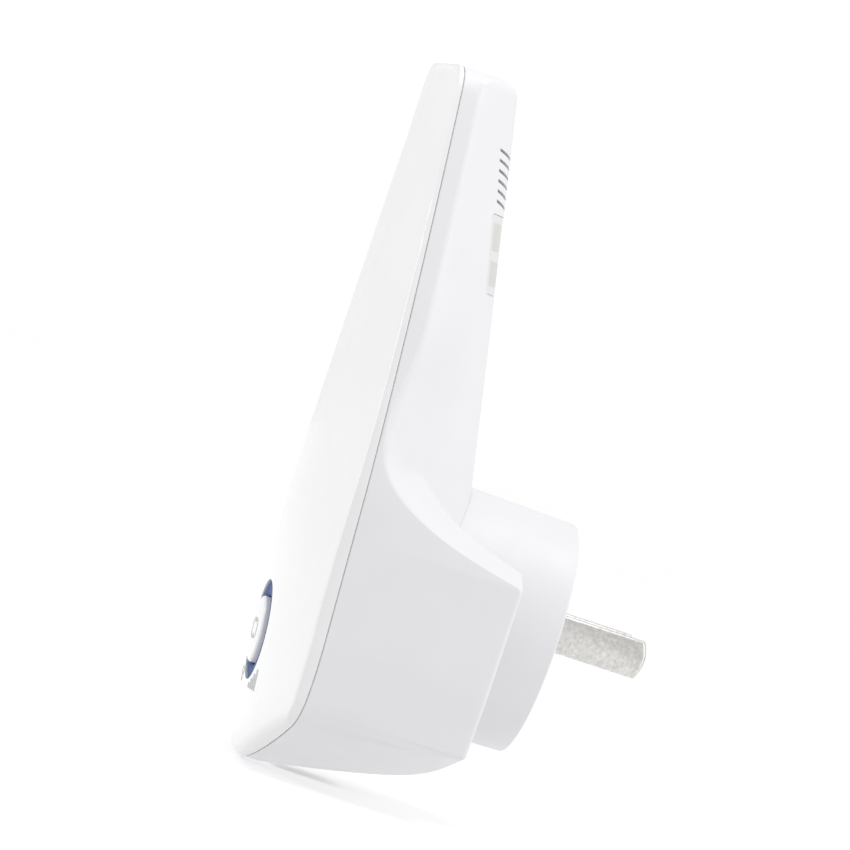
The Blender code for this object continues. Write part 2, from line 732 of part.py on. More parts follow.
def network_jack():
    low_z = JACK_Z[0]
    jack = box("network_jack", (JACK_X - JACK_HALF_X, JACK_Y[0], low_z),
               (JACK_X + JACK_HALF_X, JACK_Y[1], JACK_Z[1]), "tin")
    socket = box("socket", (JACK_X - SOCKET_HALF_X, SOCKET_Y[0], low_z - 2),
                 (JACK_X + SOCKET_HALF_X, SOCKET_Y[1], low_z + SOCKET_DEPTH), None)
    keyway = box("socket_keyway", (JACK_X - 3, SOCKET_Y[1] - 1, low_z - 2),
                 (JACK_X + 3, SOCKET_Y[1] + 0.9, low_z + SOCKET_DEPTH - 3), None)
    cut(jack, socket, keyway)
    box("jack_contacts", (JACK_X - 4.2, SOCKET_Y[0] + GAP, low_z + 6),
        (JACK_X + 4.2, SOCKET_Y[0] + GAP + 1.2, low_z + SOCKET_DEPTH - GAP), "copper")


def reset_switch():
    body = box("reset_switch", (RESET_X - 3, RESET_Y - 1.75, RESET_LOW_Z),
               (RESET_X + 3, RESET_Y + 1.75, RESET_LOW_Z + 3.6), "chip_black")
    bore = cylinder("reset_bore", (RESET_X, RESET_Y, RESET_LOW_Z - 1), 1.1, 3.0, None, 12, "Z")
    cut(body, bore)
    cylinder("reset_plunger", (RESET_X, RESET_Y, RESET_LOW_Z - 0.8), 0.8, 2.0, "button_white", 12, "Z")


# ---------------------------------------------------------------- power supply


def power_supply():
    cylinder("power_board", (0, POWER_BOARD_Y[0], HOUSING_Z), POWER_BOARD_RADIUS,
             POWER_BOARD_Y[1] - POWER_BOARD_Y[0], "board_green", 32)
    base = POWER_BOARD_Y[1] + GAP
    box("transformer_core", (-4.4, base, -14.6), (4.4, base + 11.5, -5.6), "sleeve_yellow", 0.5)
    cylinder("mains_capacitor_upper", (-4.2, base, 8.2), 3.6, 12, "chip_black", 16)
    cylinder("mains_capacitor_lower", (4.2, base, 8.2), 3.6, 12, "chip_black", 16)
    cylinder("output_capacitor", (-10.4, base, -6.6), 2.9, 9, "chip_black", 16)
    cylinder("choke", (10.4, base, -6.6), 2.7, 7, "copper", 16)
    cylinder("fuse", (12.4, base, 3.6), 1.6, 6, "sleeve_yellow", 12)
    box("bridge_rectifier", (-13.6, base, 1.0), (-9.6, base + 2.6, 6.0), "chip_black")
    for tag, side in (("left", -1), ("right", 1)):
        pin_contact(tag, side)
    box("link_header", (-4, BOARD_BACK_Y + GAP, 11.2), (4, POWER_BOARD_Y[0] - 2.9, 13.7), "chip_black")
    cylinder("insulation_sheet", (0, -HOUSING_DEPTH - GAP - 0.4, HOUSING_Z), POWER_BOARD_RADIUS, 0.4,
             "sheet_amber", 24)


# ---------------------------------------------------------------- fasteners


def screw(name, at):
    """A pan head screw driven along +Y; the point given is under its head."""
    profile = [(0, -1.5), (SCREW_HEAD - 0.6, -1.5), (SCREW_HEAD, -0.8), (SCREW_HEAD, 0),
               (SCREW_SHANK, 0), (SCREW_SHANK, 3.8), (0, 4.4)]
    turned(name, at, profile, "screw_steel", 14)


def fasteners():
    for tag, side in (("left", -1), ("right", 1)):
        screw(f"housing_screw_{tag}", (side * LUG_X, -HOUSING_DEPTH - GAP, HOUSING_Z))
    for tag, (x, z) in BOARD_SCREWS.items():
        screw(f"board_screw_{tag}", (x, BOARD_FRONT_Y - GAP, z))


def label():
    patch("rating_label", LABEL_HALF_X, LABEL_Z[0], LABEL_Z[1], LABEL_THICK, 0.0, "label_grey")


def build():
    clear_scene()
    front_cover()
    rear_cover()
    plug_housing()
    pin("left", -1)
    pin("right", 1)
    button_and_ring()
    main_board()
    board_parts()
    network_jack()
    reset_switch()
    power_supply()
    fasteners()
    label()


build()
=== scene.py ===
"""Looks of the plug-in wifi range extender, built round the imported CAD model.

Row frame: +Z up, the pins point along +Y and the front faces -Y. Shapes are worked out in
millimetres and scaled by MM when they become meshes.
"""

import json
import math

import bmesh
import bpy
import numpy as np
from mathutils import Matrix, Vector


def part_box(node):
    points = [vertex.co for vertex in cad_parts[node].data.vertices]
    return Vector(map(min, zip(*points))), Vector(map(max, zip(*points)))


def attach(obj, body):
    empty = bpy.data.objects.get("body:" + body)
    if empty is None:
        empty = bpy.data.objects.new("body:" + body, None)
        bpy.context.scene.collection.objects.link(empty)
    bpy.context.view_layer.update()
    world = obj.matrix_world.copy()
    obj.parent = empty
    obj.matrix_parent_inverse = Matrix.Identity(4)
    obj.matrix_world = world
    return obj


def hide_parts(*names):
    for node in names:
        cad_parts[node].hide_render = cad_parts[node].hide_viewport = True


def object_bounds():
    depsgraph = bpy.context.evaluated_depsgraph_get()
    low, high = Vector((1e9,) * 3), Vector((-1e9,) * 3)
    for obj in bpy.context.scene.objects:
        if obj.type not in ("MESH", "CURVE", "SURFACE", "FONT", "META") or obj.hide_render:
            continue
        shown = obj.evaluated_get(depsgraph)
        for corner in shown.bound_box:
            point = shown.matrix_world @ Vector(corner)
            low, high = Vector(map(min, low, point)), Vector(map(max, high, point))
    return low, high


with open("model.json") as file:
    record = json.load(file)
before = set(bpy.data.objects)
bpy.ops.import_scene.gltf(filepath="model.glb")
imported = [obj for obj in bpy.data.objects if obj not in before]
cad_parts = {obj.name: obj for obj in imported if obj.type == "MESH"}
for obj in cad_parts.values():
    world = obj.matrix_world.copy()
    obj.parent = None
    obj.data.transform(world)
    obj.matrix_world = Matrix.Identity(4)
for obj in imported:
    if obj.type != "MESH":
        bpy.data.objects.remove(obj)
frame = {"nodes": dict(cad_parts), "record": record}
CAD_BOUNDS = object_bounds()

MM = 0.001
SCENE = bpy.context.scene


def cad(node):
    """The lowest and highest corner of a CAD node, in millimetres."""
    low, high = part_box(node)
    return [value / MM for value in low], [value / MM for value in high]


def middle(low, high, axis):
    return (low[axis] + high[axis]) / 2


CASE = "case"
FRONT_LOW, FRONT_HIGH = cad("front_cover")
RING_LOW, RING_HIGH = cad("light_ring")
BUTTON_LOW, BUTTON_HIGH = cad("pairing_button")
HOUSING_LOW, HOUSING_HIGH = cad("plug_housing")
PIN_LOW, PIN_HIGH = cad("pin_right")
LABEL_LOW, LABEL_HIGH = cad("rating_label")
JACK_LOW, JACK_HIGH = cad("network_jack")
RESET_LOW, RESET_HIGH = cad("reset_plunger")

# Outline of the covers, seen from the front.
TOP_Z = FRONT_HIGH[2]
CHIN_Z = FRONT_LOW[2]
CHIN_SLOPE = 0.4
CHIN_ROUND = 8.0
HALF_WIDTH = FRONT_HIGH[0]
TAPER_START_Z = 10.0
TAPER_SPAN = 62.0
TAPER_DEPTH = 12.7
TAPER_POWER = 1.6
LOW_TAPER_Z = -12.0
LOW_TAPER_GAIN = 0.07
LOW_TAPER_POWER = 1.3
CHIN_CORNER_X = 26.6
CHIN_CORNER_Z = -21.4
TOP_CORNER_X = 12.2
TOP_CORNER_Z = 75.6
SPINE_LOW_Z = -20.0
SPINE_HIGH_Z = 64.0

# Front dome and the seam between the two covers.
FRONT_Y = FRONT_LOW[1]
FRONT_LOW_Z = 15.0
FRONT_LOW_GAIN = 1 / 714
FRONT_HIGH_Z = 45.0
FRONT_HIGH_GAIN = 1 / 3200
FRONT_CROWN_RADIUS = 132.0
FRONT_SIDE_ROUND = 0.5
FRONT_SIDE = 0.75
FRONT_TOP_ROUND = 1.6
FRONT_CHIN_ROUND = 1.6
SEAM_Y = -37.8
SEAM_LEAN = -0.0564
SEAM_CHIN_Z = -12.0
SEAM_CHIN_GAIN = 0.00028
SEAM_GAP = 0.14
SEAM_LIP = 0.35
SEAM_CHAMFER = 0.12

# Back of the slim upper body.
UPPER_BACK_Y = -14.5
UPPER_BACK_LEAN = -0.209
UPPER_BACK_DIVE = 4.0
SIDE_BAND = 3.0
BAND_LEAST = 0.7
BAND_LOW_Z = 22.0
BAND_FADE = 18.0
BACK_TOP_ROUND = 1.8
UPPER_SIDE_ROUND = 0.6

# Thick lower body, its swept shoulder and its rising underside.
LOWER_BACK_Y = -10.2
SHOULDER_Z = 7.9
SHOULDER_ROUND = 1.0
SHOULDER_SLOPE = 0.275
SHOULDER_SWEEP = 0.00052
SHOULDER_REACH = 34.0
FACET_WIDTH = 5.0
FACET_LEAST = 1.4
FACET_MORE = 5.1
FACET_MIDDLE_Z = 15.5
FACET_SPREAD = 7.5
LOWER_SIDE_ROUND = 0.8
UNDERSIDE_RISE = 8.1
UNDERSIDE_FADE_X = 45.0
CHIN_STRETCH = 1.07
CORNER_FADE = 3.0
PLAIN_REACH = 2.2
FACET_REACH_Z = 20.0
FACET_REACH_FADE = 12.0
SHOULDER_MIDDLE_Z = 14.0
UNDERSIDE_RUN = 26.4
UNDERSIDE_POWER = 1.85
BLEND = 1.2
REAR_SIDE = 0.6
REAR_SIDE_INSET = 0.2

# Walls, and the flat land inside the front cover's rim.
WALL = 1.8
FRONT_WALL = 1.3
FRONT_LAND = 0.22
FRONT_LIP = 0.45

# Light ring, pairing button and the icons round them.
DOME_LEAN = 0.082
RING_MIDDLE_Z = middle(RING_LOW, RING_HIGH, 2)
RING_RADIUS = (RING_HIGH[0] - RING_LOW[0]) / 2
RING_FACE_Y = -42.7
RING_BORE = 5.6
RING_HOLE_GAP = 0.12
BUTTON_MIDDLE_Z = middle(BUTTON_LOW, BUTTON_HIGH, 2)
BUTTON_FACE_Y = -43.6
CAP_RADIUS = 5.35
CAP_CROWN = 0.22
CAP_FILLET = 0.25
FLANGE_THICK = 0.7
ICON_LIFT = 0.035
ICON_SINK = 0.05
LOOP_X = 0.9
LOOP_RADIUS = 1.5
LOOP_STROKE = 0.42
BAR_COUNT = 4
BAR_FIRST_X = 3.0
BAR_PITCH = 1.65
BAR_WIDTH = 1.2
BAR_STEP = 0.85
BAR_LOW_Z = RING_LOW[2] - 1.2
WAVES_X = -6.6
WAVES_LOW_Z = RING_LOW[2] - 1.6
WAVE_RADII = (1.1, 2.0, 2.9)
WAVE_STROKE = 0.38

# Plug housing and pins.
HOUSING_MIDDLE_Z = middle(HOUSING_LOW, HOUSING_HIGH, 2)
HOUSING_FLARE = 0.5
HOUSING_FLARE_Y = -18.0
HOUSING_WALL = 2.0
HOUSING_GAP = 0.15
HOUSING_FILLETS = (0, 0.45, 4.0, 0.2, 0.2, 0.6, 0)
PIN_X = middle(PIN_LOW, PIN_HIGH, 0)
PIN_SLOT_GAP = 0.3
PIN_BEVEL = 0.45
PIN_TIP_ROUND = 0.9

# Openings in the underside, and the label with its recess.
PORT_SIZE = (13.2, 9.8, 10.0)
PORT_CORNER = 0.5
PINHOLE_RADIUS = 0.8
LABEL_CORNER = 0.65
RECESS_GAP = 0.15

# Vents on the back of the upper body.
VENT_ROWS = 6
VENT_FIRST_Z = 68.7
VENT_PITCH = 1.55
VENT_HEIGHT = 0.5
VENT_X = (2.6, 13.6)
VENT_SLANT = 6.5


# ---------------------------------------------------------------- materials


class Nodes:
    """A material's node tree, with short calls to add and link nodes."""

    def __init__(self, name):
        self.material = bpy.data.materials.new(name)
        self.material.use_nodes = True
        self.tree = self.material.node_tree
        self.shader = self.tree.nodes["Principled BSDF"]
        self.place = self.add("ShaderNodeTexCoord").outputs["Object"]

    def add(self, kind, inputs=None, **settings):
        made = self.tree.nodes.new(kind)
        for key, value in settings.items():
            setattr(made, key, value)
        for key, value in (inputs or {}).items():
            self.put(made.inputs[key], value)
        return made

    def put(self, socket, value):
        if isinstance(value, bpy.types.NodeSocket):
            self.tree.links.new(value, socket)
        else:
            socket.default_value = value

    def stretched(self, scale):
        return self.add("ShaderNodeMapping", {"Vector": self.place, "Scale": scale}).outputs["Vector"]

    def noise(self, scale, detail=3.0, place=None):
        inputs = {"Vector": place or self.place, "Scale": scale, "Detail": detail}
        return self.add("ShaderNodeTexNoise", inputs).outputs["Fac"]

    def spread(self, value, low, high, start=0.3, end=0.7):
        inputs = {"Value": value, "From Min": start, "From Max": end, "To Min": low, "To Max": high}
        return self.add("ShaderNodeMapRange", inputs).outputs["Result"]

    def blend(self, factor, one, two):
        made = self.add("ShaderNodeMix", data_type="RGBA")
        self.put(made.inputs[0], factor)
        self.put(made.inputs[6], (*one, 1.0) if isinstance(one, tuple) else one)
        self.put(made.inputs[7], (*two, 1.0) if isinstance(two, tuple) else two)
        return made.outputs[2]

    def bump(self, height, strength, distance, under=None):
        inputs = {"Height": height, "Strength": strength, "Distance": distance}
        if under:
            inputs["Normal"] = under
        return self.add("ShaderNodeBump", inputs).outputs["Normal"]

    def finish(self, colour, roughness, normal=None, **constants):
        self.put(self.shader.inputs["Base Color"], colour)
        self.put(self.shader.inputs["Roughness"], roughness)
        if normal:
            self.put(self.shader.inputs["Normal"], normal)
        for key, value in constants.items():
            self.shader.inputs[key.replace("_", " ")].default_value = value
        return self.material


def shade(colour, part):
    return tuple(value * part for value in colour)


def moulded(name, colour, roughness, grain=2600.0, depth=0.00001, strength=0.15, **constants):
    """Moulded plastic: faint mottling, an uneven gloss and a fine grain."""
    nodes = Nodes(name)
    cloudy = nodes.noise(60.0, 4.0)
    tint = nodes.blend(nodes.spread(cloudy, 0.0, 1.0), colour, shade(colour, 0.97))
    gloss = nodes.spread(nodes.noise(220.0), roughness * 0.85, roughness * 1.15)
    normal = nodes.bump(nodes.noise(grain, 2.0), strength, depth)
    return nodes.finish(tint, gloss, normal, **constants)


def drawn_metal(name, colour, roughness, stretch, strength=0.35, dark=0.72):
    """Rolled or drawn metal: fine lines along one way, specks and smudges."""
    nodes = Nodes(name)
    lines = nodes.noise(900.0, 6.0, nodes.stretched(stretch))
    specks = nodes.noise(1500.0, 5.0)
    mixed = nodes.add("ShaderNodeMath", {0: lines, 1: specks}, operation="ADD").outputs[0]
    tint = nodes.blend(nodes.spread(mixed, 0.0, 1.0, 0.7, 1.3), shade(colour, dark), colour)
    gloss = nodes.spread(nodes.noise(350.0), roughness * 0.75, roughness * 1.4)
    normal = nodes.bump(mixed, strength, 0.00004)
    return nodes.finish(tint, gloss, normal, Metallic=1.0)


def board_material(name):
    """Solder mask over copper tracks, with pads."""
    nodes = Nodes(name)
    turned = nodes.add("ShaderNodeMapping", {"Vector": nodes.place, "Rotation": (math.pi / 2, 0, 0)})
    tracks = nodes.add("ShaderNodeTexBrick", {
        "Vector": turned.outputs["Vector"], "Scale": 260.0, "Mortar Size": 0.035,
        "Brick Width": 0.9, "Row Height": 0.32,
    })
    patches = nodes.spread(nodes.noise(120.0, 1.0), 0.0, 1.0, 0.48, 0.52)
    lines = nodes.add("ShaderNodeMath", {0: tracks.outputs["Fac"], 1: patches}, operation="MULTIPLY")
    tint = nodes.blend(lines.outputs[0], (0.012, 0.11, 0.045), (0.05, 0.30, 0.12))
    normal = nodes.bump(lines.outputs[0], 0.4, 0.00005)
    return nodes.finish(tint, nodes.spread(nodes.noise(400.0), 0.28, 0.4), normal)


def ring_material():
    """Deep blue light guide, a little paler where the pigment thins."""
    nodes = Nodes("ring_blue")
    swirl = nodes.noise(300.0, 3.0)
    tint = nodes.blend(nodes.spread(swirl, 0.0, 1.0), (0.002, 0.035, 0.15), (0.004, 0.060, 0.23))
    normal = nodes.bump(nodes.noise(3000.0), 0.08, 0.00001)
    return nodes.finish(tint, nodes.spread(swirl, 0.30, 0.38), normal, Specular_IOR_Level=0.03)


def label_material(low, high):
    """A grey rating label with pale margins and blank grey blocks, and no lettering."""
    nodes = Nodes("label_grey")
    split = nodes.add("ShaderNodeSeparateXYZ", {"Vector": nodes.place})
    width = nodes.spread(split.outputs["X"], 0.0, 1.0, low[0] * MM, high[0] * MM)
    height = nodes.spread(split.outputs["Z"], 0.0, 1.0, low[2] * MM, high[2] * MM)

    def band(value, start, end):
        above = nodes.add("ShaderNodeMath", {0: value, 1: start}, operation="GREATER_THAN").outputs[0]
        below = nodes.add("ShaderNodeMath", {0: value, 1: end}, operation="LESS_THAN").outputs[0]
        return nodes.add("ShaderNodeMath", {0: above, 1: below}, operation="MULTIPLY").outputs[0]

    blocks = None
    for left, right, bottom, top in ((0.04, 0.30, 0.06, 0.40), (0.04, 0.30, 0.48, 0.94),
                                     (0.36, 0.72, 0.55, 0.90), (0.36, 0.96, 0.10, 0.42),
                                     (0.78, 0.96, 0.55, 0.90)):
        inside = nodes.add("ShaderNodeMath", {0: band(width, left, right), 1: band(height, bottom, top)},
                           operation="MULTIPLY").outputs[0]
        if blocks:
            inside = nodes.add("ShaderNodeMath", {0: blocks, 1: inside}, operation="MAXIMUM").outputs[0]
        blocks = inside
    paper = nodes.blend(nodes.noise(700.0), (0.70, 0.71, 0.70), (0.74, 0.75, 0.74))
    ink = nodes.blend(nodes.noise(900.0), (0.60, 0.60, 0.57), (0.65, 0.65, 0.62))
    normal = nodes.bump(nodes.noise(4000.0), 0.2, 0.00001)
    return nodes.finish(nodes.blend(blocks, paper, ink), nodes.spread(nodes.noise(500.0), 0.45, 0.6), normal)


def sleeve_material():
    """Wrapped tape on a transformer, with its edges showing as fine lines."""
    nodes = Nodes("sleeve_yellow")
    wraps = nodes.add("ShaderNodeTexWave", {"Vector": nodes.place, "Scale": 180.0, "Distortion": 0.4},
                      bands_direction="Y").outputs["Fac"]
    tint = nodes.blend(wraps, (0.50, 0.36, 0.04), (0.66, 0.50, 0.09))
    return nodes.finish(tint, nodes.spread(nodes.noise(500.0), 0.3, 0.45), nodes.bump(wraps, 0.3, 0.00005))


def copper_material():
    """Copper strip or wire, with fine drawn lines."""
    return drawn_metal("copper_strip", (0.80, 0.46, 0.24), 0.26, (6.0, 0.4, 6.0), 0.2, 0.8)


MATERIALS = {
    "cover_gloss": moulded("cover_gloss", (0.85, 0.85, 0.86), 0.16, 1800.0, 0.000004, 0.05,
                           Coat_Weight=0.25, Coat_Roughness=0.06),
    "cover_satin": moulded("cover_satin", (0.80, 0.80, 0.822), 0.42, 4200.0, 0.000012, 0.15),
    "pin_nickel": drawn_metal("pin_nickel", (0.70, 0.69, 0.67), 0.34, (0.6, 2.2, 2.2), 0.35, 0.72),
    "ring_blue": ring_material(),
    "button_white": moulded("button_white", (0.84, 0.845, 0.86), 0.22, 2400.0, 0.000006, 0.08),
    "label_grey": label_material(LABEL_LOW, LABEL_HIGH),
    "board_green": board_material("board_green"),
    "tin_plate": drawn_metal("tin_plate", (0.70, 0.71, 0.72), 0.30, (0.4, 6.0, 6.0), 0.15, 0.85),
    "chip_black": moulded("chip_black", (0.018, 0.018, 0.020), 0.45, 5000.0, 0.00001, 0.35),
    "copper_strip": copper_material(),
    "switch_white": moulded("switch_white", (0.80, 0.81, 0.80), 0.35, 3500.0, 0.00001, 0.15),
    "sleeve_yellow": sleeve_material(),
    "sheet_amber": moulded("sheet_amber", (0.45, 0.25, 0.03), 0.25, 1500.0, 0.00001, 0.1),
    "screw_steel": drawn_metal("screw_steel", (0.45, 0.45, 0.46), 0.28, (4.0, 1.0, 4.0), 0.25, 0.75),
    "icon_grey": moulded("icon_grey", (0.50, 0.51, 0.50), 0.50, 3500.0, 0.00001, 0.1),
}


# ---------------------------------------------------------------- mesh helpers


def make(name, bm, finish, body=CASE, replaced=(), sharp=35.0):
    """A piece from a bmesh in millimetres in the row frame, riding on a body."""
    bmesh.ops.recalc_face_normals(bm, faces=bm.faces)
    bmesh.ops.scale(bm, vec=(MM, MM, MM), verts=bm.verts)
    mesh = bpy.data.meshes.new(name)
    bm.to_mesh(mesh)
    bm.free()
    mesh.shade_smooth()
    mesh.set_sharp_from_angle(angle=math.radians(sharp))
    item = bpy.data.objects.new(name, mesh)
    SCENE.collection.objects.link(item)
    if finish:
        mesh.materials.append(MATERIALS[finish])
        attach(item, body)
        if replaced:
            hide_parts(*replaced)
    return item


def loft(bm, rows, closed_rows=False):
    """Faces between rings of points; each ring is closed on itself."""
    rings = [[bm.verts.new(point) for point in ring] for ring in rows]
    pairs = list(zip(rings, rings[1:]))
    if closed_rows:
        pairs.append((rings[-1], rings[0]))
    for one, two in pairs:
        for i in range(len(one)):
            j = (i + 1) % len(one)
            bm.faces.new((one[i], one[j], two[j], two[i]))
    return rings


def turned_mesh(at, profile, sides, axis="Y"):
    """A bmesh turned about an axis through a point; a profile that ends where it starts is a ring."""
    bm = bmesh.new()
    closed = profile[0] == profile[-1]
    points = profile[:-1] if closed else profile
    steps = [2 * math.pi * i / sides for i in range(sides)]
    rows = [[(max(r, 1e-4) * math.cos(a), max(r, 1e-4) * math.sin(a), h) for a in steps] for r, h in points]
    rings = loft(bm, rows, closed)
    if not closed:
        for ring in (rings[0], rings[-1]):
            bm.faces.new(ring)
    bmesh.ops.remove_doubles(bm, verts=bm.verts, dist=0.001)
    if axis == "Y":
        bmesh.ops.rotate(bm, matrix=Matrix.Rotation(-math.pi / 2, 3, "X"), verts=bm.verts)
    bmesh.ops.translate(bm, vec=at, verts=bm.verts)
    return bm


def rounded(points, radius_of, count=6):
    """A profile with its inner corners rounded: points are (r, h), radius_of their fillet radii."""
    out = [points[0]]
    for before, here, after, radius in zip(points, points[1:], points[2:], radius_of[1:]):
        if radius == 0:
            out.append(here)
            continue
        one = Vector(before) - Vector(here)
        two = Vector(after) - Vector(here)
        angle = one.angle(two)
        reach = min(radius / math.tan(angle / 2), one.length * 0.49, two.length * 0.49)
        start = Vector(here) + one.normalized() * reach
        end = Vector(here) + two.normalized() * reach
        for i in range(count + 1):
            t = i / count
            spot = start * (1 - t) ** 2 + Vector(here) * 2 * t * (1 - t) + end * t * t
            out.append((spot.x, spot.y))
    out.append(points[-1])
    return out


def box_mesh(bm, matrix, size):
    bmesh.ops.create_cube(bm, size=1.0, matrix=matrix @ Matrix.Diagonal((*size, 1)))


def cutter(name, bm):
    item = make(name, bm, None)
    item.hide_render = True
    return item


def carve(item, tools):
    """Cuts tools out of a piece for good, and removes them."""
    for tool in tools:
        step = item.modifiers.new(tool.name, "BOOLEAN")
        step.operation = "DIFFERENCE"
        step.solver = "EXACT"
        step.object = tool
    settled = bpy.data.meshes.new_from_object(item.evaluated_get(bpy.context.evaluated_depsgraph_get()))
    item.modifiers.clear()
    item.data = settled
    settled.set_sharp_from_angle(angle=math.radians(35))
    for tool in tools:
        bpy.data.objects.remove(tool, do_unlink=True)


# ---------------------------------------------------------------- body form


def chin(x):
    return CHIN_Z + CHIN_SLOPE * (np.sqrt(x * x + CHIN_ROUND**2) - CHIN_ROUND)


def half_width(z):
    up = np.clip(z - TAPER_START_Z, 0, None) / TAPER_SPAN
    down = np.clip(LOW_TAPER_Z - z, 0, None)
    return HALF_WIDTH - TAPER_DEPTH * up**TAPER_POWER - LOW_TAPER_GAIN * down**LOW_TAPER_POWER


def seam(z):
    return SEAM_Y + SEAM_LEAN * z - SEAM_CHIN_GAIN * np.clip(SEAM_CHIN_Z - z, 0, None) ** 3


def corner(start, control, end, count):
    """Points inside a quadratic curve between two points, without its ends."""
    t = np.linspace(0, 1, count + 2)[1:-1, None]
    return (1 - t) ** 2 * np.array(start) + 2 * t * (1 - t) * np.array(control) + t * t * np.array(end)


def outline(chin_count, side_steps, corner_count, top_count):
    """The closed front view outline as (x, z) rows, counter-clockwise from the chin."""
    chin_x = np.linspace(0, CHIN_CORNER_X, chin_count)
    low = np.column_stack((chin_x, chin(chin_x)))
    side = np.column_stack((half_width(side_steps), side_steps))
    slope = CHIN_SLOPE * CHIN_CORNER_X / math.hypot(CHIN_CORNER_X, CHIN_ROUND)
    run = side[0][0] - CHIN_CORNER_X
    low_control = (side[0][0] - 0.25 * run, low[-1][1] + 0.75 * run * slope)
    high_control = (half_width(np.array(TOP_Z)), TOP_Z)
    top_x = np.linspace(TOP_CORNER_X, 0, top_count)
    top = np.column_stack((top_x, np.full(top_count, TOP_Z)))
    right = np.vstack((
        low,
        corner(low[-1], low_control, side[0], corner_count),
        side,
        corner(side[-1], high_control, top[0], corner_count),
        top,
    ))
    left = right[-2:0:-1] * (-1, 1)
    return np.vstack((right, left))


def inward(loop):
    """Unit normals that point into a counter-clockwise loop."""
    along = np.roll(loop, -1, axis=0) - np.roll(loop, 1, axis=0)
    along /= np.linalg.norm(along, axis=1)[:, None]
    return np.column_stack((-along[:, 1], along[:, 0]))


def round_over(distance, radius):
    """How far a rounded edge falls away, at a distance in from the edge."""
    left = np.clip(radius - distance, 0, radius)
    return radius - np.sqrt(radius * radius - left * left)


def front_surface(x, z):
    low = np.clip(FRONT_LOW_Z - z, 0, None) ** 2 * FRONT_LOW_GAIN
    high = np.clip(z - FRONT_HIGH_Z, 0, None) ** 2 * FRONT_HIGH_GAIN
    y = FRONT_Y + low + high + x * x / (2 * FRONT_CROWN_RADIUS)
    y = y + round_over(half_width(z) - np.abs(x), FRONT_SIDE_ROUND)
    y = y + round_over(TOP_Z - z, FRONT_TOP_ROUND)
    y = y + round_over(z - chin(x), FRONT_CHIN_ROUND)
    return np.minimum(y, seam(z) - FRONT_SIDE)


def side_band(z):
    """Depth of the flat side of the slim upper body, which runs out above the shoulder."""
    part = np.clip((z - BAND_LOW_Z) / BAND_FADE, 0, 1)
    return BAND_LEAST + (SIDE_BAND - BAND_LEAST) * part * part * (3 - 2 * part)


def upper_back(x, z, inset):
    """The D section: an arc through the middle of the back and the two side bands.

    Below the shoulder it dives steeply forward, inside the lower body.
    """
    middle = UPPER_BACK_Y + UPPER_BACK_LEAN * z
    dive = UPPER_BACK_DIVE * np.clip(SHOULDER_Z - z, 0, None)
    depth = middle - seam(z) - side_band(z)
    reach = half_width(z)
    radius = (reach**2 + depth**2) / (2 * depth)
    across = np.minimum(np.abs(x) + inset * np.abs(x) / reach, reach)
    y = middle - inset - (radius - np.sqrt(radius**2 - across**2)) - dive
    y = y - round_over(half_width(z) - inset - np.abs(x), np.full_like(z, UPPER_SIDE_ROUND))
    return y - round_over(TOP_Z - inset - z, BACK_TOP_ROUND)


def shoulder(z, inset):
    """How far back the swept shoulder of the lower body reaches at a height."""
    run = np.linspace(0, SHOULDER_REACH, 200)
    rise = SHOULDER_Z + SHOULDER_SLOPE * run + SHOULDER_SWEEP * run**3
    back = LOWER_BACK_Y - SHOULDER_ROUND - np.interp(z + inset, rise, run)
    curved = LOWER_BACK_Y - round_over(SHOULDER_Z - z - inset, SHOULDER_ROUND)
    return np.where(z + inset > SHOULDER_Z, back, curved) - inset


def facet_drop(x, z, inset):
    """How far the swept shoulder slopes down over the last few millimetres to each side."""
    across = np.clip(1 - (half_width(z) - inset - np.abs(x)) / FACET_WIDTH, 0, 1)
    return across * (FACET_LEAST + FACET_MORE * np.exp(-(((z - FACET_MIDDLE_Z) / FACET_SPREAD) ** 2)))


def lower_back(x, z, inset):
    height = UNDERSIDE_RISE * (1 - np.abs(x) / UNDERSIDE_FADE_X)
    rise = np.clip((z - chin(x) - inset) / height, 0, 1)
    underside = LOWER_BACK_Y - inset - UNDERSIDE_RUN * (1 - rise) ** UNDERSIDE_POWER
    y = np.minimum(shoulder(z + facet_drop(x, z, inset), inset), underside)
    return y - round_over(half_width(z) - inset - np.abs(x), LOWER_SIDE_ROUND)


def back_surface(x, z, inset=0.0):
    upper = upper_back(x, z, inset)
    lower = lower_back(x, z, inset)
    mix = np.clip(0.5 + (upper - lower) / (2 * BLEND), 0, 1)
    y = lower * (1 - mix) + upper * mix + BLEND * mix * (1 - mix)
    return np.maximum(y, seam(z) + REAR_SIDE - REAR_SIDE_INSET * inset)


def towards_spine(loop, part):
    """A loop pulled in by a part of the way to the covers' vertical middle line."""
    spine = np.column_stack((np.zeros(len(loop)), np.clip(loop[:, 1], SPINE_LOW_Z, SPINE_HIGH_Z)))
    return loop + (spine - loop) * part


def rim_rings(loop, level, chamfer):
    """The seam edge: a ring set in by the chamfer, then the full outline just off the seam."""
    set_in = loop + inward(loop) * abs(chamfer)
    return [
        np.column_stack((set_in[:, 0], level(set_in[:, 1]), set_in[:, 1])),
        np.column_stack((loop[:, 0], level(loop[:, 1]) + chamfer, loop[:, 1])),
    ]


def edge_reach(loop):
    """How wide the shaped edge of the rear cover is, at each point of its outline."""
    low = UNDERSIDE_RISE * (1 - np.abs(loop[:, 0]) / UNDERSIDE_FADE_X) / CHIN_STRETCH
    part = np.clip((loop[:, 1] - chin(loop[:, 0])) / CORNER_FADE, 0, 1)
    away = np.clip((np.abs(loop[:, 1] - SHOULDER_MIDDLE_Z) - FACET_REACH_Z) / FACET_REACH_FADE, 0, 1)
    side = FACET_WIDTH + (PLAIN_REACH - FACET_WIDTH) * away
    return low + (side - low) * part


